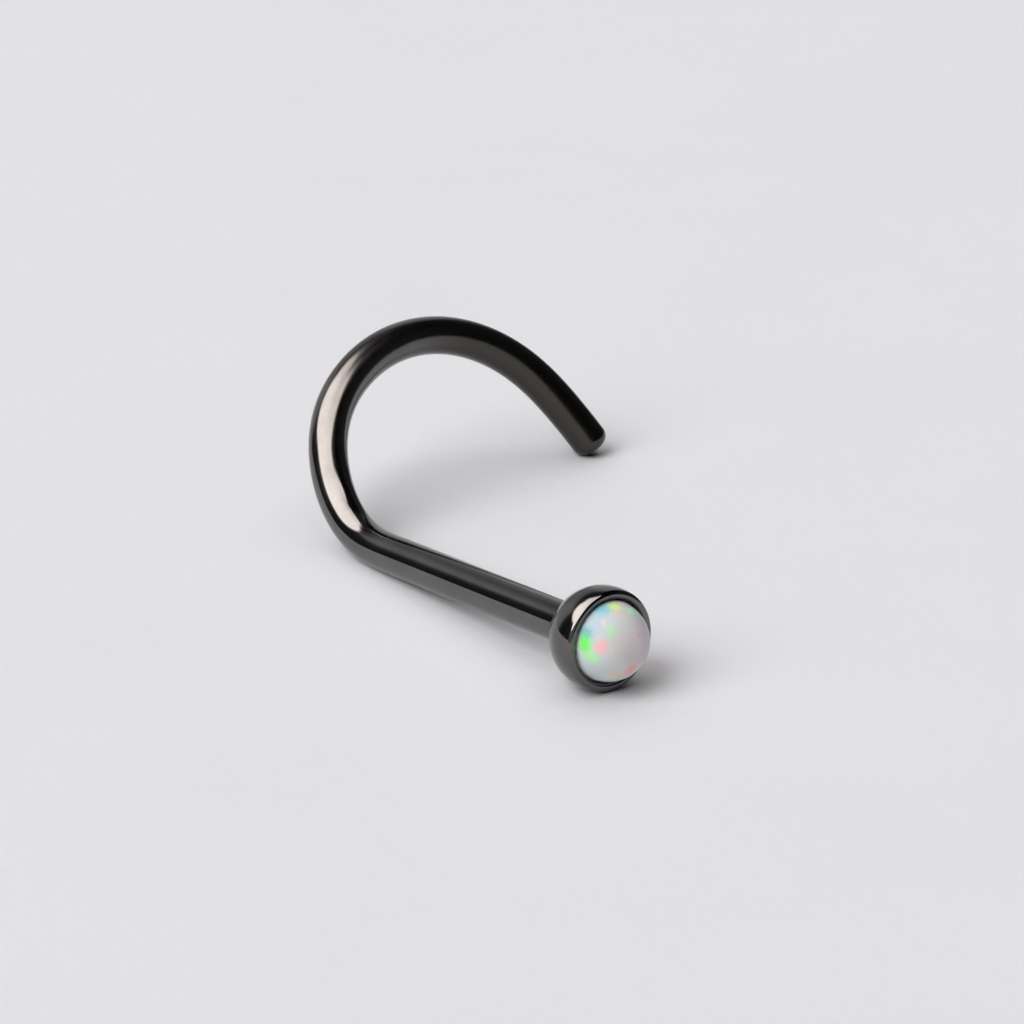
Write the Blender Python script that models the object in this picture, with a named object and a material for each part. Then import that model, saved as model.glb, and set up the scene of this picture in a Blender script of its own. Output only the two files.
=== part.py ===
"""Nose screw with an opal head, lying as it rests by itself on a flat surface.

A round wire is bent from a straight post into an open hook, and is soldered to a ball-shaped
cup whose rounded lip holds a domed opal. Metres, +Z up. The post lies over the X axis with
the head towards +X, and the hook stands up at the -X end. The piece rests on its head, its
bend and its tip. The origin is on that surface, under the middle of the piece's box.
"""

import math

import bmesh
import bpy
from mathutils import Matrix, Vector

MM = 0.001

# Wire. Radii of bends are at the wire's centre.
WIRE_DIAMETER = 0.80 * MM
POST_LENGTH = 6.40 * MM  # from the back of the cup to the start of the bend
BEND_RADIUS = 2.00 * MM
BEND_TURN = math.radians(64.0)
HOOK_ROLL = math.radians(95.0)  # from the bend's plane to the hook's, about the wire
# The hook opens out in three arcs: the short crown next to the bend, the long far side and the tail.
CROWN_RADIUS = 2.34 * MM
CROWN_TURN = math.radians(43.5)
SIDE_RADIUS = 3.76 * MM
SIDE_TURN = math.radians(96.5)
TAIL_RADIUS = 14.0 * MM
TAIL_TURN = math.radians(5.7)
TIP_ROUNDING = 0.25 * MM

# Stone. Heights are from the plane of its widest ring.
STONE_DIAMETER = 1.66 * MM
STONE_RISE = 0.95 * MM
STONE_DEPTH = 0.33 * MM
SHOULDER_HEIGHT = 0.16 * MM  # the slope under the lip
BASE_BEVEL = 0.06 * MM
DOME_FULLNESS = 2.3  # 2 makes the dome an ellipse, and more makes it fuller

# Cup
SETTING_GAP = 0.02 * MM
CUP_WALL = 0.15 * MM
LIP_OVERHANG = 0.05 * MM  # how far the lip reaches in past the wall's inner face
LIP_HEIGHT = 0.19 * MM  # the lip rounding's centre, above the stone's widest ring
SOLDER_FILLET = 0.12 * MM

# Facets
SIDES = 32
STEP_ANGLE = math.radians(8.0)
POST_STEPS = 6
SETTLE_ROUNDS = 40
MERGE_DISTANCE = 1e-4 * MM
SHARP_ANGLE = math.radians(40.0)

METAL_LOOK = {"colour": (0.055, 0.055, 0.060, 1.0), "metallic": 1.0, "roughness": 0.12}
OPAL_LOOK = {"colour": (0.78, 0.79, 0.80, 1.0), "metallic": 0.0, "roughness": 0.08}

HOOK_ARCS = ((CROWN_RADIUS, CROWN_TURN), (SIDE_RADIUS, SIDE_TURN), (TAIL_RADIUS, TAIL_TURN))
WIRE_RADIUS = WIRE_DIAMETER / 2
STONE_RADIUS = STONE_DIAMETER / 2
BORE_RADIUS = STONE_RADIUS + SETTING_GAP
BALL_RADIUS = BORE_RADIUS + CUP_WALL
OPENING_RADIUS = BORE_RADIUS - LIP_OVERHANG
SHOWN_RADIUS = OPENING_RADIUS - SETTING_GAP
# The lip's rounding touches the ball from inside and narrows the bore to the opening.
LIP_ROUNDING = (BALL_RADIUS**2 - OPENING_RADIUS**2 - LIP_HEIGHT**2) / 2
LIP_ROUNDING /= BALL_RADIUS + OPENING_RADIUS


def clear_scene():
    for obj in list(bpy.data.objects):
        bpy.data.objects.remove(obj)


def arc(centre, radius, start, end):
    """Points (x, r) of an arc in a turned profile. Its angles are measured from the axis of turning."""
    steps = max(3, math.ceil(abs(end - start) / STEP_ANGLE))
    angles = [start + (end - start) * i / steps for i in range(steps + 1)]
    return [(centre[0] + radius * math.cos(a), centre[1] + radius * math.sin(a)) for a in angles]


def cup_and_post_profile():
    """From the middle of the stone's seat, round the lip and the ball, to the end of the straight post."""
    seat_x = -(STONE_DEPTH + SETTING_GAP)
    lip_centre = (LIP_HEIGHT, OPENING_RADIUS + LIP_ROUNDING)
    lip_start = math.pi + math.asin((lip_centre[1] - BORE_RADIUS) / LIP_ROUNDING)
    ball_start = math.atan2(lip_centre[1], lip_centre[0])
    fillet_r = WIRE_RADIUS + SOLDER_FILLET
    fillet_x = -math.sqrt((BALL_RADIUS + SOLDER_FILLET) ** 2 - fillet_r**2)
    ball_end = math.atan2(fillet_r, fillet_x)

    profile = [(seat_x, 0.0), (seat_x, BORE_RADIUS)]
    profile += arc(lip_centre, LIP_ROUNDING, lip_start, 2 * math.pi + ball_start)
    profile += arc((0.0, 0.0), BALL_RADIUS, ball_start, ball_end)[1:]
    profile += arc((fillet_x, fillet_r), SOLDER_FILLET, ball_end + math.pi, 1.5 * math.pi)[1:]
    post_end = post_end_x()
    for i in range(1, POST_STEPS + 1):
        profile.append((fillet_x + (post_end - fillet_x) * i / POST_STEPS, WIRE_RADIUS))
    return profile


def post_end_x():
    return -(BALL_RADIUS + POST_LENGTH)


def stone_profile():
    """From the middle of the flat base, up the side and the shoulder, over the dome to its top."""
    power = 2 / DOME_FULLNESS
    first = math.asin((LIP_HEIGHT / STONE_RISE) ** (1 / power))
    reach = SHOWN_RADIUS / math.cos(first) ** power

    profile = [
        (-STONE_DEPTH, 0.0),
        (-STONE_DEPTH, STONE_RADIUS - BASE_BEVEL),
        (BASE_BEVEL - STONE_DEPTH, STONE_RADIUS),
        (LIP_HEIGHT - SHOULDER_HEIGHT, STONE_RADIUS),
    ]
    steps = math.ceil((math.pi / 2 - first) / STEP_ANGLE)
    for i in range(steps):
        angle = first + (math.pi / 2 - first) * i / steps
        profile.append((STONE_RISE * math.sin(angle) ** power, reach * math.cos(angle) ** power))
    profile.append((STONE_RISE, 0.0))
    return profile


def turn_profile(bm, profile):
    """Spins a profile once round the X axis."""
    verts = [bm.verts.new((x, 0.0, r)) for x, r in profile]
    edges = [bm.edges.new(pair) for pair in zip(verts, verts[1:])]
    bmesh.ops.spin(
        bm,
        geom=verts + edges,
        cent=(0.0, 0.0, 0.0),
        axis=(1.0, 0.0, 0.0),
        angle=2 * math.pi,
        steps=SIDES,
        use_merge=True,
    )
    bmesh.ops.remove_doubles(bm, verts=bm.verts, dist=MERGE_DISTANCE)


def ring_verts(ring):
    return {v for edge in ring for v in edge.verts}


def bend_wire(bm, ring, frame, radius, turn):
    """Carries the wire's open ring round one arc.

    The frame's X runs along the wire, and its Z points to the arc's centre.
    """
    centre = frame @ Vector((0.0, 0.0, radius))
    axis = frame.to_3x3() @ Vector((0.0, -1.0, 0.0))
    made = bmesh.ops.spin(
        bm,
        geom=ring + list(ring_verts(ring)),
        cent=centre,
        axis=axis,
        angle=turn,
        steps=math.ceil(turn / STEP_ANGLE),
    )
    ring = [item for item in made["geom_last"] if isinstance(item, bmesh.types.BMEdge)]
    move = Matrix.Translation(centre) @ Matrix.Rotation(turn, 4, axis) @ Matrix.Translation(-centre)
    return ring, move @ frame


def round_and_close_tip(bm, ring, frame):
    """Rounds the wire's cut edge and closes it with a flat end."""
    rounding = arc((0.0, WIRE_RADIUS - TIP_ROUNDING), TIP_ROUNDING, math.pi / 2, 0.0)
    to_frame = frame.inverted()
    last_radius = WIRE_RADIUS
    for along, radius in rounding[1:]:
        made = bmesh.ops.extrude_edge_only(bm, edges=ring)["geom"]
        ring = [item for item in made if isinstance(item, bmesh.types.BMEdge)]
        for vert in ring_verts(ring):
            local = to_frame @ vert.co
            scale = radius / last_radius
            vert.co = frame @ Vector((along, local.y * scale, local.z * scale))
        last_radius = radius
    bmesh.ops.edgeloop_fill(bm, edges=ring)


def points_without(bm, verts):
    return [v.co.copy() for v in bm.verts if v not in verts]


def build_metal():
    """The wire and the cup as one mesh with the head along +X, and the points that it can rest on."""
    bm = bmesh.new()
    turn_profile(bm, cup_and_post_profile())
    head = [v.co.copy() for v in bm.verts if v.co.x > -BALL_RADIUS]

    ring = [e for e in bm.edges if e.is_boundary]
    frame = Matrix.Translation((post_end_x(), 0.0, 0.0)) @ Matrix.Rotation(math.pi, 4, "Z")
    before_bend = set(bm.verts) - ring_verts(ring)
    ring, frame = bend_wire(bm, ring, frame, BEND_RADIUS, BEND_TURN)
    bend = points_without(bm, before_bend)

    frame = frame @ Matrix.Rotation(HOOK_ROLL, 4, "X")
    for radius, turn in HOOK_ARCS:
        ring, frame = bend_wire(bm, ring, frame, radius, turn)
    before_tip = set(bm.verts) - ring_verts(ring)
    round_and_close_tip(bm, ring, frame)
    tip = points_without(bm, before_tip)
    return bm, (head, bend, tip)


def build_stone():
    bm = bmesh.new()
    turn_profile(bm, stone_profile())
    return bm


def resting_turn(feet):
    """The rotation that levels the lowest points of the feet, with the post over the X axis."""
    turn = Matrix.Identity(3)
    for _ in range(SETTLE_ROUNDS):
        low = [min((turn @ p for p in points), key=lambda p: p.z) for points in feet]
        normal = (low[1] - low[0]).cross(low[2] - low[0])
        if normal.z < 0:
            normal.negate()
        turn = normal.rotation_difference(Vector((0.0, 0.0, 1.0))).to_matrix() @ turn
    post = turn @ Vector((1.0, 0.0, 0.0))
    return Matrix.Rotation(-math.atan2(post.y, post.x), 3, "Z") @ turn


def resting_place(turn, points):
    """The move that stands the turned points on Z = 0, with the middle of their box over the origin."""
    turned = [turn @ p for p in points]
    low = Vector([min(p[i] for p in turned) for i in range(3)])
    high = Vector([max(p[i] for p in turned) for i in range(3)])
    middle = (low + high) / 2
    return Vector((-middle.x, -middle.y, -low.z))


def material(name, look):
    made = bpy.data.materials.new(name)
    made.use_nodes = True
    shader = made.node_tree.nodes["Principled BSDF"]
    shader.inputs["Base Color"].default_value = look["colour"]
    shader.inputs["Metallic"].default_value = look["metallic"]
    shader.inputs["Roughness"].default_value = look["roughness"]
    return made


def add_object(name, bm, look, parent, collection):
    bmesh.ops.recalc_face_normals(bm, faces=bm.faces)
    mesh = bpy.data.meshes.new(name)
    bm.to_mesh(mesh)
    bm.free()
    mesh.shade_smooth()
    mesh.set_sharp_from_angle(angle=SHARP_ANGLE)
    mesh.materials.append(material(name, look))
    obj = bpy.data.objects.new(name, mesh)
    obj.parent = parent
    collection.objects.link(obj)
    return obj


def main():
    clear_scene()
    collection = bpy.data.collections.new("nose_screw")
    bpy.context.scene.collection.children.link(collection)
    rest = bpy.data.objects.new("rest", None)
    collection.objects.link(rest)

    metal, feet = build_metal()
    stone = build_stone()
    turn = resting_turn(feet)
    points = [v.co.copy() for v in list(metal.verts) + list(stone.verts)]
    rest.location = resting_place(turn, points)
    rest.rotation_euler = turn.to_euler()

    add_object("wire_and_cup", metal, METAL_LOOK, rest, collection)
    add_object("opal_cabochon", stone, OPAL_LOOK, rest, collection)


main()
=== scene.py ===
"""Nose screw with an opal head, resting on a pale surface under soft light.

The metal and the stone are modelled again as smooth meshes, from the sizes that the solids have and
in the same resting place. Metres, +Z up.
"""

import math

import bmesh
import bpy
from mathutils import Matrix, Vector


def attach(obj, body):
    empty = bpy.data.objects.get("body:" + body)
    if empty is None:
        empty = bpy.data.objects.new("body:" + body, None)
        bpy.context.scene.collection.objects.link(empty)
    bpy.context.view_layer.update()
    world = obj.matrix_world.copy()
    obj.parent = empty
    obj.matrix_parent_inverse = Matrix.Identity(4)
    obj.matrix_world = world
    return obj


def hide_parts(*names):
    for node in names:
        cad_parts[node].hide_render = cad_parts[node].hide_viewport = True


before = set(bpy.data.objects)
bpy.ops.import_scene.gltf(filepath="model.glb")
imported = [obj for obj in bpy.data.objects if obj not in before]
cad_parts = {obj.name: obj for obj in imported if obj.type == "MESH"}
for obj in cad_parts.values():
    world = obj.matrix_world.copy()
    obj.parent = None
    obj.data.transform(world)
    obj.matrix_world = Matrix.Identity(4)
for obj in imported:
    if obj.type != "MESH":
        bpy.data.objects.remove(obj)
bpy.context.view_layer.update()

MM = 0.001

# Wire
WIRE_RADIUS = 0.40 * MM
POST_LENGTH = 6.40 * MM
BEND = (2.00 * MM, math.radians(64.0))
HOOK_ROLL = math.radians(95.0)
HOOK_ARCS = (
    (2.34 * MM, math.radians(43.5)),
    (3.76 * MM, math.radians(96.5)),
    (14.0 * MM, math.radians(5.7)),
)
TIP_ROUNDING = 0.25 * MM

# The stretch over which one arc's bending passes into the next one's
EASING = 1.40 * MM

# Stone and cup
STONE_RADIUS = 0.83 * MM
STONE_RISE = 0.95 * MM
STONE_DEPTH = 0.33 * MM
SHOULDER_HEIGHT = 0.16 * MM
BASE_BEVEL = 0.06 * MM
DOME_FULLNESS = 2.3
SHOWN_RADIUS = 0.78 * MM
SETTING_GAP = 0.02 * MM
BORE_RADIUS = 0.85 * MM
BALL_RADIUS = 1.00 * MM
OPENING_RADIUS = 0.80 * MM
LIP_HEIGHT = 0.19 * MM
SOLDER_FILLET = 0.12 * MM

# The lip's rounding touches the ball's outline from inside and reaches in to the opening
LIP_ROUNDING = (BALL_RADIUS**2 - OPENING_RADIUS**2 - LIP_HEIGHT**2) / (2 * (BALL_RADIUS + OPENING_RADIUS))

# Facets
SIDES = 128
FINE_ANGLE = math.radians(3.0)
WIRE_STEP = 0.06 * MM
SETTLE_ROUNDS = 60

# A length or an angle that counts as none
TINY = 1e-9

POST_END = -(BALL_RADIUS + POST_LENGTH)

# Camera, from a fit to the photo's outline, with its lens and sensor in millimetres
CAMERA_AT = Vector((60.504, -46.347, 31.577)) * MM
AZIMUTH = math.radians(53.466)
ELEVATION = math.radians(21.806)
LENS = 144.18
SENSOR_WIDTH = 36.0
NEAREST = 0.001
FARTHEST = 10.0

# Colours
METAL_DEEP = (0.128, 0.125, 0.122, 1.0)
METAL_LIGHT = (0.152, 0.150, 0.147, 1.0)
# Painted shade: the tail's colour is darker to stand in for the darker reflections it shows
METAL_TAIL_PAINTED_SHADE = (0.066, 0.063, 0.058, 1.0)
FLOOR_COOL = (0.742, 0.760, 0.801, 1.0)
FLOOR_WARM = (0.757, 0.771, 0.804, 1.0)
BACKDROP = (0.72, 0.74, 0.77, 1.0)
MILK_COOL = (0.64, 0.73, 0.73, 1.0)
MILK_WARM = (0.70, 0.705, 0.675, 1.0)

# Metal: roughness of its polish, the tail's added roughness, and where along the straightened wire,
# in millimetres, the coating starts and ends to dull, and where painted shade starts and ends to darken
# the tail
POLISH = (0.07, 0.12)
TAIL_DULLNESS = 0.12
DULLING = (-6.5, -13.0)
TAIL_PAINTED_SHADE_SPAN = (-12.5, -15.5)

# How the metal's streaks are drawn out along the wire and narrowed across it
STREAK_STRETCH = (0.35, 3.0, 3.0)

# Noise scales, per millimetre
STREAK_SCALE = 9.0
METAL_CLOUD_SCALE = 1.3
OPAL_CLOUD_SCALE = 1.6
WANDER_SCALE = 3.2
RAGGED_SCALE = 22.0
FLAKE_SCALE = 5.5
FLAKE_PATCH_SCALE = 4.1
PAPER_CLOUD_SCALE = 0.16
PAPER_TOOTH_SCALE = 2.6

# How far, in millimetres, the opal's outlines wander and fray, and how strong its flakes are
WANDER = (0.14, 0.14, 0.14)
FRAY = (0.16, 0.16, 0.16)
FLAKE_STRENGTH = 0.16

# The shares of its reach up to which a flash is full and at which it is gone
FLASH_EDGE = (0.15, 1.15)

# Opal, in millimetres of the head's own frame: middle, reach, stretch, colour and how much of it
EVEN = (1.0, 1.0, 1.0)
# The last two clouds are pale pink patches that are also made brighter as painted light, lifting the
# stone's shaded side
OPAL_CLOUDS_AND_PAINTED_LIGHT = (
    ((0.45, -0.57, 0.44), 0.58, EVEN, (0.48, 0.62, 0.71), 0.92),
    ((0.55, -0.50, -0.45), 0.55, EVEN, (0.52, 0.55, 0.58), 0.60),
    ((0.90, 0.15, 0.22), 0.60, EVEN, (0.98, 0.85, 0.93), 0.80),
    ((0.85, 0.10, -0.35), 0.45, EVEN, (0.98, 0.80, 0.80), 0.55),
)
OPAL_FLASHES = (
    ((0.34, -0.33, 0.69), 0.26, EVEN, (0.20, 0.62, 0.72), 0.80),
    ((0.44, -0.11, 0.72), 0.17, EVEN, (0.72, 1.00, 0.26), 0.95),
    ((0.56, 0.17, 0.66), 0.17, (1.0, 0.8, 1.2), (0.50, 1.00, 0.70), 0.85),
    ((0.59, -0.45, 0.48), 0.10, (1.2, 1.2, 0.7), (0.95, 0.66, 0.66), 0.55),
    ((0.58, -0.20, 0.62), 0.12, (1.2, 0.8, 1.0), (0.95, 0.64, 0.62), 0.55),
    ((0.59, 0.00, 0.66), 0.10, EVEN, (0.92, 0.64, 0.62), 0.50),
    ((0.39, -0.70, 0.25), 0.19, EVEN, (0.16, 0.50, 0.52), 0.85),
    ((0.42, -0.73, 0.06), 0.19, (1.0, 1.0, 0.85), (0.18, 0.98, 0.12), 0.95),
    ((0.55, -0.66, -0.15), 0.18, (1.0, 0.8, 1.1), (0.40, 0.96, 0.36), 0.80),
    ((0.71, -0.57, 0.06), 0.185, EVEN, (1.00, 0.55, 0.55), 0.90),
    ((0.74, -0.40, 0.36), 0.17, (1.0, 1.4, 0.8), (0.50, 0.88, 0.44), 0.65),
    ((0.84, 0.04, -0.40), 0.17, (1.0, 1.1, 0.9), (1.00, 0.44, 0.40), 0.90),
    ((0.74, -0.22, -0.49), 0.16, (1.0, 0.9, 1.3), (0.92, 0.58, 0.36), 0.60),
    ((0.74, -0.08, -0.55), 0.12, EVEN, (0.62, 0.66, 0.28), 0.60),
    ((0.38, 0.62, -0.34), 0.20, EVEN, (0.24, 0.80, 0.40), 0.75),
    ((0.45, 0.60, 0.30), 0.18, EVEN, (0.20, 0.55, 0.75), 0.70),
    ((0.60, 0.45, -0.40), 0.16, EVEN, (1.00, 0.45, 0.25), 0.60),
)

# Room, as (turn to the right in degrees, value): the window sill's height in degrees, how bright the
# window is, and how bright the wall under it is
SILL_TOP = 100.0
SILL_SOFTNESS = 2.5
WINDOW_SILL = (
    (-180, 36), (-165, 33), (-150, 29), (-138, 25), (-125, 22), (-118, 24), (-108, 29), (-98, 31),
    (-90, 31), (-82, 33), (-74, 35), (-66, 38), (-58, 42), (-50, 46), (-42, 50), (-30, 51), (-13, 60),
    (6, 72), (37, 79), (60, 78), (76, 72), (92, 64), (105, 59), (122, 56), (140, 54), (150, 51),
    (157, 45), (165, 39), (180, 36),
)
WINDOW_STRENGTH = (
    (-180, 0.9), (-130, 1.0), (-60, 1.0), (-20, 0.75), (90, 0.75), (150, 0.85), (180, 0.9),
)
WALL_LIGHT = (
    (-180, 0.35), (-120, 0.35), (-105, 0.10), (-95, 0.05), (-72, 0.05), (-60, 0.55), (-45, 0.60),
    (-35, 0.50), (-24, 0.40), (-10, 0.38), (-2, 0.60), (10, 0.55), (20, 0.20), (30, 0.08), (68, 0.05),
    (150, 0.04), (160, 0.20), (180, 0.35),
)
WINDOW_COLOUR = (5.6, 5.1, 4.85)
WALL_COLOUR = (1.0, 1.02, 1.04)

# Heights in degrees between which the window's and the wall's light fades, and its share below and above
WINDOW_FADE = (60.0, 90.0, 1.0, 0.85)
WALL_FADE = (28.0, 42.0, 1.0, 0.12)

# Lamps, as name, turn and height in degrees, width in metres, power in watts and colour
LAMP_DISTANCE = 2.0
LAMPS = (
    ("window_light", -131.0, 43.0, 1.8, 38.3, (0.99, 0.97, 0.96)),
    ("room_light", -15.0, 64.0, 3.6, 33.6, (1.0, 0.955, 0.94)),
)

# Floor, in metres
FLOOR_SIZE = 1.2


def arc(centre, radius, start, end):
    """Points on a circle, from the angle start to the angle end."""
    steps = max(3, math.ceil(abs(end - start) / FINE_ANGLE))
    angles = [start + (end - start) * i / steps for i in range(steps + 1)]
    return [(centre[0] + radius * math.cos(a), centre[1] + radius * math.sin(a)) for a in angles]


def spread(start, end, step):
    """The values after start, up to end, in even steps."""
    count = math.ceil(abs(end - start) / step)
    return [start + (end - start) * i / count for i in range(1, count + 1)]


def metal_profile():
    """Points (x, r) from the middle of the stone's seat, over the lip and the ball, to the wire's tip."""
    seat_x = -(STONE_DEPTH + SETTING_GAP)
    lip = (LIP_HEIGHT, OPENING_RADIUS + LIP_ROUNDING)
    lip_start = math.pi + math.asin((lip[1] - BORE_RADIUS) / LIP_ROUNDING)
    ball_start = math.atan2(lip[1], lip[0])
    fillet_r = WIRE_RADIUS + SOLDER_FILLET
    fillet_x = -math.sqrt((BALL_RADIUS + SOLDER_FILLET) ** 2 - fillet_r**2)
    ball_end = math.atan2(fillet_r, fillet_x)

    profile = [(seat_x, 0.0), (seat_x, BORE_RADIUS)]
    profile += arc(lip, LIP_ROUNDING, lip_start, 2 * math.pi + ball_start)
    profile += arc((0.0, 0.0), BALL_RADIUS, ball_start, ball_end)[1:]
    profile += arc((fillet_x, fillet_r), SOLDER_FILLET, ball_end + math.pi, 1.5 * math.pi)[1:]
    wire_end = POST_END - sum(radius * turn for radius, turn in (BEND, *HOOK_ARCS))
    profile += [(x, WIRE_RADIUS) for x in spread(fillet_x, POST_END, WIRE_STEP)]
    profile += [(x, WIRE_RADIUS) for x in spread(POST_END, wire_end, WIRE_STEP)]
    rounding = arc((wire_end, WIRE_RADIUS - TIP_ROUNDING), TIP_ROUNDING, math.pi / 2, math.pi)[1:]
    profile += rounding
    profile.append((rounding[-1][0], 0.0))
    return profile


def stone_profile():
    """Points (x, r) from the middle of the stone's flat back, round its girdle, to the top of its dome."""
    power = 2 / DOME_FULLNESS
    first = math.asin((LIP_HEIGHT / STONE_RISE) ** (1 / power))
    reach = SHOWN_RADIUS / math.cos(first) ** power
    profile = [
        (-STONE_DEPTH, 0.0),
        (-STONE_DEPTH, STONE_RADIUS - BASE_BEVEL),
        (BASE_BEVEL - STONE_DEPTH, STONE_RADIUS),
        (LIP_HEIGHT - SHOULDER_HEIGHT, STONE_RADIUS),
    ]
    for angle in [first, *spread(first, math.pi / 2, FINE_ANGLE)[:-1]]:
        profile.append((STONE_RISE * math.sin(angle) ** power, reach * math.cos(angle) ** power))
    profile.append((STONE_RISE, 0.0))
    return profile


def curvature(along, easing):
    """The wire's bending per metre, towards a frame's Y and Z that ride along it without rolling.

    Each arc's bending eases into the next one's over a short stretch, as it does in a bent wire.
    """
    rows = [(0.0, Vector((0.0, 0.0)))]
    start = 0.0
    for index, (radius, turn) in enumerate((BEND, *HOOK_ARCS)):
        roll = HOOK_ROLL if index else 0.0
        rows.append((start, Vector((-math.sin(roll), math.cos(roll))) / radius))
        start += radius * turn
    found = rows[0][1].copy()
    for (_, before), (start, after) in zip(rows, rows[1:]):
        share = min(1.0, max(0.0, (along - start) / easing + 0.5))
        found += (after - before) * share
    return found


def wire_path(stations, easing):
    """A frame for each station's x: its X runs on along the bent wire, and it rides without rolling."""
    frames = {}
    x = POST_END + easing / 2
    at = Matrix.Translation((x, 0.0, 0.0)) @ Matrix.Rotation(math.pi, 4, "Z")
    for station in sorted((place for place in stations if place < x), reverse=True):
        bend = curvature(POST_END - (x + station) / 2, easing)
        at = at @ round_arc(bend, x - station)
        frames[station] = at
        x = station
    return frames


def round_arc(bend, length):
    """The move along an arc that leaves along the frame's X and curves by bend towards its Y and Z."""
    if bend.length * length < TINY:
        return Matrix.Translation((length, 0.0, 0.0))
    centre = Matrix.Translation(Vector((0.0, bend.x, bend.y)) / bend.length_squared)
    turn = Matrix.Rotation(bend.length * length, 4, Vector((0.0, -bend.y, bend.x)))
    return centre @ turn @ centre.inverted()


def bend_point(point, path):
    """Where a point of the straight wire lies on the bent one."""
    if point.x not in path:
        return point
    return path[point.x] @ Vector((0.0, -point.y, point.z))


def turned_mesh(name, profile):
    """A closed mesh from a profile turned about X."""
    bm = bmesh.new()
    rings = []
    for x, r in profile:
        if r == 0.0:
            rings.append([bm.verts.new((x, 0.0, 0.0))])
            continue
        angles = [2 * math.pi * i / SIDES for i in range(SIDES)]
        rings.append([bm.verts.new((x, r * math.cos(a), r * math.sin(a))) for a in angles])
    for one, two in zip(rings, rings[1:]):
        for i in range(SIDES):
            j = (i + 1) % SIDES
            corners = [one[i % len(one)], one[j % len(one)], two[j % len(two)], two[i % len(two)]]
            bm.faces.new(list(dict.fromkeys(corners)))
    bmesh.ops.recalc_face_normals(bm, faces=bm.faces)
    mesh = bpy.data.meshes.new(name)
    bm.to_mesh(mesh)
    bm.free()
    mesh.shade_smooth()
    return mesh


def resting_turn(feet):
    """The turn that sets the lowest point of each foot on one level, with the post over the X axis."""
    turn = Matrix.Identity(3)
    for _ in range(SETTLE_ROUNDS):
        low = [min((turn @ p for p in points), key=lambda p: p.z) for points in feet]
        normal = (low[1] - low[0]).cross(low[2] - low[0])
        if normal.z < 0:
            normal.negate()
        turn = normal.rotation_difference(Vector((0.0, 0.0, 1.0))).to_matrix() @ turn
    post = turn @ Vector((1.0, 0.0, 0.0))
    return Matrix.Rotation(-math.atan2(post.y, post.x), 3, "Z") @ turn


def resting_place(points, stone, straight):
    """The move from the head's own frame to the place on the surface.

    It rests on the head, the bend and the tip, over the middle of its bounding box.
    """
    bend_x = POST_END - BEND[0] * BEND[1]
    tip_x = min(p.x for p in straight) + WIRE_RADIUS
    head = [p for p, s in zip(points, straight) if s.x > -BALL_RADIUS]
    bend = [p for p, s in zip(points, straight) if bend_x < s.x < POST_END + WIRE_RADIUS]
    tip = [p for p, s in zip(points, straight) if s.x < tip_x]
    turn = resting_turn((head, bend, tip))
    turned = [turn @ p for p in points + [v.co.copy() for v in stone.vertices]]
    low = Vector([min(p[i] for p in turned) for i in range(3)])
    high = Vector([max(p[i] for p in turned) for i in range(3)])
    middle = (low + high) / 2
    return Matrix.Translation((-middle.x, -middle.y, -low.z)) @ turn.to_4x4()


def make_pieces():
    """Both pieces, bent and resting, where the solids are."""
    metal = turned_mesh("metal", metal_profile())
    stone = turned_mesh("opal", stone_profile())
    straight = [v.co.copy() for v in metal.vertices]
    for mesh in (metal, stone):
        place = mesh.attributes.new("straight", "FLOAT_VECTOR", "POINT")
        place.data.foreach_set("vector", [c / MM for v in mesh.vertices for c in v.co])
    stations = {p.x for p in straight}
    plain_path = wire_path(stations, TINY)
    eased_path = wire_path(stations, EASING)
    plain = [bend_point(p, plain_path) for p in straight]
    eased = [bend_point(p, eased_path) for p in straight]
    for vert, place in zip(metal.vertices, eased):
        vert.co = place

    # The solids have plain arcs, so the head lies where the plain wire puts it
    at = resting_place(eased, stone, straight)
    at.translation.xy = resting_place(plain, stone, straight).translation.xy
    pieces = {}
    for name, mesh in (("black_wire_and_cup", metal), ("white_opal", stone)):
        mesh.transform(at)
        mesh.update()
        obj = bpy.data.objects.new(name, mesh)
        bpy.context.scene.collection.objects.link(obj)
        pieces[name] = obj
    return pieces


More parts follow.
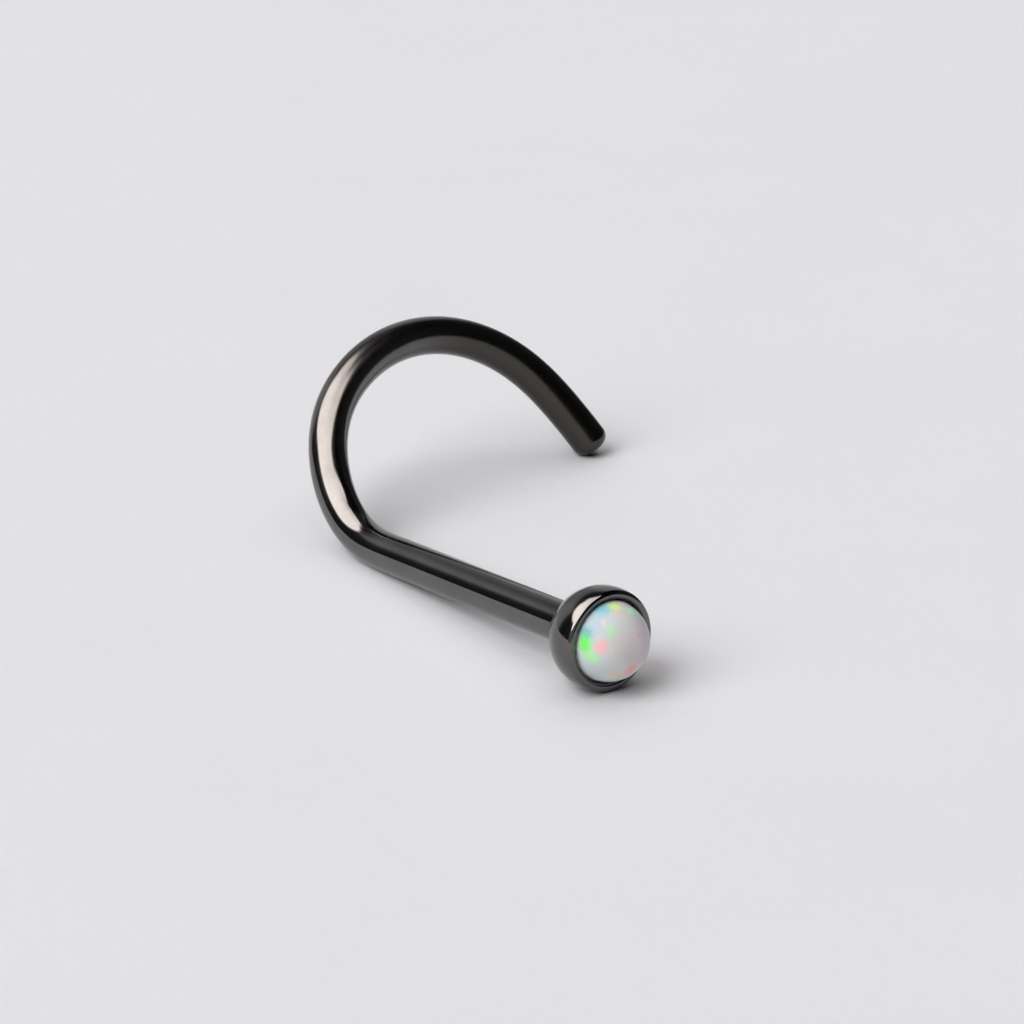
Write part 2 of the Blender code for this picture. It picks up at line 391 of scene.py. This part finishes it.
class Graph:
    """A node tree, with a call for each kind of node used below."""

    def __init__(self, tree):
        self.tree = tree

    def node(self, kind, **settings):
        made = self.tree.nodes.new(kind)
        for name, value in settings.items():
            setattr(made, name, value)
        return made

    def feed(self, socket, value):
        """Puts a number, a colour or another node's output on a socket."""
        if isinstance(value, bpy.types.NodeSocket):
            self.tree.links.new(value, socket)
        else:
            socket.default_value = value

    def math(self, operation, *values):
        made = self.node("ShaderNodeMath", operation=operation)
        for socket, value in zip(made.inputs, values):
            self.feed(socket, value)
        return made.outputs[0]

    def vector(self, operation, *values):
        made = self.node("ShaderNodeVectorMath", operation=operation)
        for socket, value in zip(made.inputs, values):
            self.feed(socket, value)
        return made.outputs["Value" if operation == "LENGTH" else "Vector"]

    def blend(self, share, one, two):
        """The first colour, with a share of the second mixed in.

        The node's sockets 0, 6 and 7 are the share and the two colours, and output 2 is the mix.
        """
        made = self.node("ShaderNodeMix", data_type="RGBA")
        for index, value in ((0, share), (6, one), (7, two)):
            self.feed(made.inputs[index], value)
        return made.outputs[2]

    def step(self, value, low, high, start=0.0, end=1.0):
        """Goes smoothly from start to end while the value goes from low to high."""
        made = self.node("ShaderNodeMapRange", interpolation_type="SMOOTHSTEP")
        for socket, number in zip(made.inputs, (value, low, high, start, end)):
            self.feed(socket, number)
        return made.outputs[0]

    def noise(self, place, scale, detail=2.0, roughness=0.5):
        made = self.node("ShaderNodeTexNoise")
        self.feed(made.inputs["Vector"], place)
        made.inputs["Scale"].default_value = scale
        made.inputs["Detail"].default_value = detail
        made.inputs["Roughness"].default_value = roughness
        return made

    def bump(self, height, strength, distance):
        made = self.node("ShaderNodeBump")
        made.inputs["Strength"].default_value = strength
        made.inputs["Distance"].default_value = distance
        self.feed(made.inputs["Height"], height)
        return made.outputs[0]

    def curve(self, value, points):
        """A smooth curve through points whose x and y run from 0 to 1."""
        made = self.node("ShaderNodeFloatCurve")
        line = made.mapping.curves[0]
        for _ in points[2:]:
            line.points.new(0.5, 0.5)
        for point, place in zip(line.points, points):
            point.location = place
        made.mapping.update()
        self.feed(made.inputs["Value"], value)
        return made.outputs[0]


def new_material(name):
    """A material, its graph, and the sockets of its shader."""
    made = bpy.data.materials.new(name)
    made.use_nodes = True
    return made, Graph(made.node_tree), made.node_tree.nodes["Principled BSDF"].inputs


def straight_place(graph):
    """Where the point lies on the straight wire, in millimetres of the head's own frame."""
    return graph.node("ShaderNodeAttribute", attribute_name="straight").outputs["Vector"]


def black_metal():
    """Polished black-coated steel, drawn along the wire, with faint cloudiness in the polish and painted
    shade darkening its tail.
    """
    made, graph, shader = new_material("black_metal")
    place = straight_place(graph)
    drawn = graph.vector("MULTIPLY", place, STREAK_STRETCH)
    streaks = graph.noise(drawn, STREAK_SCALE, detail=3.0).outputs["Fac"]
    clouds = graph.noise(place, METAL_CLOUD_SCALE, detail=4.0, roughness=0.6).outputs["Fac"]
    parts = graph.node("ShaderNodeSeparateXYZ")
    graph.feed(parts.inputs[0], place)
    along = parts.outputs["X"]
    colour = graph.blend(graph.step(clouds, 0.3, 0.7), METAL_DEEP, METAL_LIGHT)
    # Painted shade: the tail is darkened to stand in for its darker reflections
    colour = graph.blend(graph.step(along, *TAIL_PAINTED_SHADE_SPAN), colour, METAL_TAIL_PAINTED_SHADE)
    graph.feed(shader["Base Color"], colour)
    shader["Metallic"].default_value = 1.0
    dull = graph.step(along, *DULLING, 0.0, TAIL_DULLNESS)
    graph.feed(shader["Roughness"], graph.math("ADD", dull, graph.step(streaks, 0.3, 0.75, *POLISH)))
    graph.feed(shader["Normal"], graph.bump(streaks, strength=0.02, distance=0.004 * MM))
    return made


def spot(graph, place, centre, stretch):
    """How far a place lies from a spot's middle, with the spot drawn narrower where stretch is over 1."""
    away = graph.vector("SUBTRACT", place, centre)
    return graph.vector("LENGTH", graph.vector("MULTIPLY", away, stretch))


def opal():
    """Milky opal: pale clouds, two of them also painted light on its shaded side, small flakes of fire in
    patches, and the larger flashes over them.
    """
    made, graph, shader = new_material("opal")
    place = straight_place(graph)
    wavy = place
    for scale, detail, amount in ((WANDER_SCALE, 3.0, WANDER), (RAGGED_SCALE, 2.0, FRAY)):
        noise = graph.noise(place, scale, detail=detail).outputs["Color"]
        shift = graph.vector("SUBTRACT", noise, (0.5, 0.5, 0.5))
        wavy = graph.vector("MULTIPLY_ADD", shift, amount, wavy)

    clouds = graph.noise(place, OPAL_CLOUD_SCALE, detail=3.0).outputs["Fac"]
    colour = graph.blend(graph.step(clouds, 0.35, 0.65), MILK_COOL, MILK_WARM)
    # The clouds include painted light: the last two lift the stone's shaded side
    for centre, reach, stretch, tint, amount in OPAL_CLOUDS_AND_PAINTED_LIGHT:
        far = spot(graph, wavy, centre, stretch)
        colour = graph.blend(graph.step(far, 0.0, reach, amount, 0.0), colour, (*tint, 1.0))

    cells = graph.node("ShaderNodeTexVoronoi")
    graph.feed(cells.inputs["Vector"], wavy)
    cells.inputs["Scale"].default_value = FLAKE_SCALE
    flake = graph.node("ShaderNodeHueSaturation")
    graph.feed(flake.inputs["Color"], cells.outputs["Color"])
    flake.inputs["Saturation"].default_value = 0.8
    flake.inputs["Value"].default_value = 1.5
    patches = graph.noise(place, FLAKE_PATCH_SCALE).outputs["Fac"]
    lit = graph.step(patches, 0.52, 0.68, 0.0, FLAKE_STRENGTH)
    near = graph.step(cells.outputs["Distance"], 0.15, 0.6, 1.0, 0.0)
    colour = graph.blend(graph.math("MULTIPLY", lit, near), colour, flake.outputs["Color"])

    for centre, reach, stretch, tint, amount in OPAL_FLASHES:
        far = spot(graph, wavy, centre, stretch)
        share = graph.step(far, reach * FLASH_EDGE[0], reach * FLASH_EDGE[1], amount, 0.0)
        colour = graph.blend(share, colour, (*tint, 1.0))
    graph.feed(shader["Base Color"], colour)
    shader["Subsurface Weight"].default_value = 0.15
    shader["Subsurface Radius"].default_value = (1.0, 0.8, 0.7)
    shader["Subsurface Scale"].default_value = 0.15 * MM
    graph.feed(shader["Roughness"], graph.step(clouds, 0.3, 0.7, 0.26, 0.36))
    shader["Specular IOR Level"].default_value = 0.12
    shader["IOR"].default_value = 1.45
    return made


def floor_paper():
    """Smooth white card with a faint cool tint and a slight tooth."""
    made, graph, shader = new_material("floor_paper")
    place = graph.vector("MULTIPLY", graph.node("ShaderNodeTexCoord").outputs["Object"], (1 / MM,) * 3)
    clouds = graph.noise(place, PAPER_CLOUD_SCALE, detail=3.0).outputs["Fac"]
    tooth = graph.noise(place, PAPER_TOOTH_SCALE, detail=4.0, roughness=0.65).outputs["Fac"]
    colour = graph.blend(graph.step(clouds, 0.3, 0.7), FLOOR_COOL, FLOOR_WARM)
    graph.feed(shader["Base Color"], colour)
    shader["Roughness"].default_value = 0.75
    shader["Specular IOR Level"].default_value = 0.2
    graph.feed(shader["Normal"], graph.bump(tooth, strength=0.25, distance=0.05 * MM))
    return made


def chart(points, top):
    """Turns from -180 to 180 degrees and values up to top, as places on a curve."""
    return [((turn + 180.0) / 360.0, value / top) for turn, value in points]


def room():
    """What the polished metal sees: a wide window behind the camera's left, and dim walls.

    Turns are in degrees to the right from straight ahead of the camera, and heights in degrees.
    """
    world = bpy.data.worlds.new("studio")
    world.use_nodes = True
    graph = Graph(world.node_tree)
    facing = graph.node("ShaderNodeVectorRotate", rotation_type="Z_AXIS")
    graph.feed(facing.inputs["Vector"], graph.node("ShaderNodeTexCoord").outputs["Generated"])
    facing.inputs["Angle"].default_value = -AZIMUTH
    parts = graph.node("ShaderNodeSeparateXYZ")
    graph.feed(parts.inputs[0], facing.outputs[0])
    turn = graph.math("ARCTAN2", parts.outputs["X"], parts.outputs["Y"])
    turn = graph.math("MULTIPLY_ADD", turn, 0.5 / math.pi, 0.5)
    height = graph.math("MULTIPLY", graph.math("ARCSINE", parts.outputs["Z"]), 180.0 / math.pi)

    sill = graph.math("MULTIPLY", graph.curve(turn, chart(WINDOW_SILL, SILL_TOP)), SILL_TOP)
    window = graph.step(graph.math("SUBTRACT", height, sill), -SILL_SOFTNESS, SILL_SOFTNESS)
    window = graph.math("MULTIPLY", window, graph.step(height, *WINDOW_FADE))
    window = graph.math("MULTIPLY", window, graph.curve(turn, chart(WINDOW_STRENGTH, 1.0)))
    wall = graph.curve(turn, chart(WALL_LIGHT, 1.0))
    wall = graph.math("MULTIPLY", wall, graph.step(height, *WALL_FADE))
    light = graph.vector("MULTIPLY", wall, WALL_COLOUR)
    light = graph.vector("MULTIPLY_ADD", window, WINDOW_COLOUR, light)
    seen = graph.node("ShaderNodeLightPath").outputs["Is Camera Ray"]
    graph.feed(world.node_tree.nodes["Background"].inputs["Color"], graph.blend(seen, light, BACKDROP))
    world.cycles_visibility.diffuse = False
    bpy.context.scene.world = world


def lamp(name, turn, height, width, power, colour):
    """A round soft lamp that points at the origin and shows in no reflection."""
    data = bpy.data.lights.new(name, "AREA")
    data.shape = "DISK"
    data.size = width
    data.energy = power
    data.color = colour
    made = bpy.data.objects.new(name, data)
    bpy.context.scene.collection.objects.link(made)
    around = AZIMUTH - turn
    flat = math.cos(height)
    away = Vector((-math.sin(around) * flat, math.cos(around) * flat, math.sin(height)))
    made.location = away * LAMP_DISTANCE
    made.rotation_euler = away.to_track_quat("Z", "Y").to_euler()
    made.visible_glossy = False
    made.visible_camera = False


pieces = make_pieces()
metal = pieces["black_wire_and_cup"]
opal_stone = pieces["white_opal"]
metal.data.materials.append(black_metal())
opal_stone.data.materials.append(opal())
for piece, node, slot in ((metal, "wire_and_cup", "black_metal"), (opal_stone, "opal_cabochon", "opal")):
    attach(piece, "root")
    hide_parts(node)

bpy.ops.mesh.primitive_plane_add(size=FLOOR_SIZE, location=(0.0, 0.0, 0.0))
floor = bpy.context.object
floor.name = "floor"
floor.data.materials.append(floor_paper())

camera = bpy.data.objects.new("camera", bpy.data.cameras.new("camera"))
bpy.context.scene.collection.objects.link(camera)
camera.location = CAMERA_AT
camera.rotation_euler = (math.pi / 2 - ELEVATION, 0.0, AZIMUTH)
camera.data.sensor_width = SENSOR_WIDTH
camera.data.lens = LENS
camera.data.clip_start = NEAREST
camera.data.clip_end = FARTHEST
bpy.context.scene.camera = camera

room()
for name, turn, height, width, power, colour in LAMPS:
    lamp(name, math.radians(turn), math.radians(height), width, power, colour)
bpy.context.scene.view_settings.view_transform = "Standard"
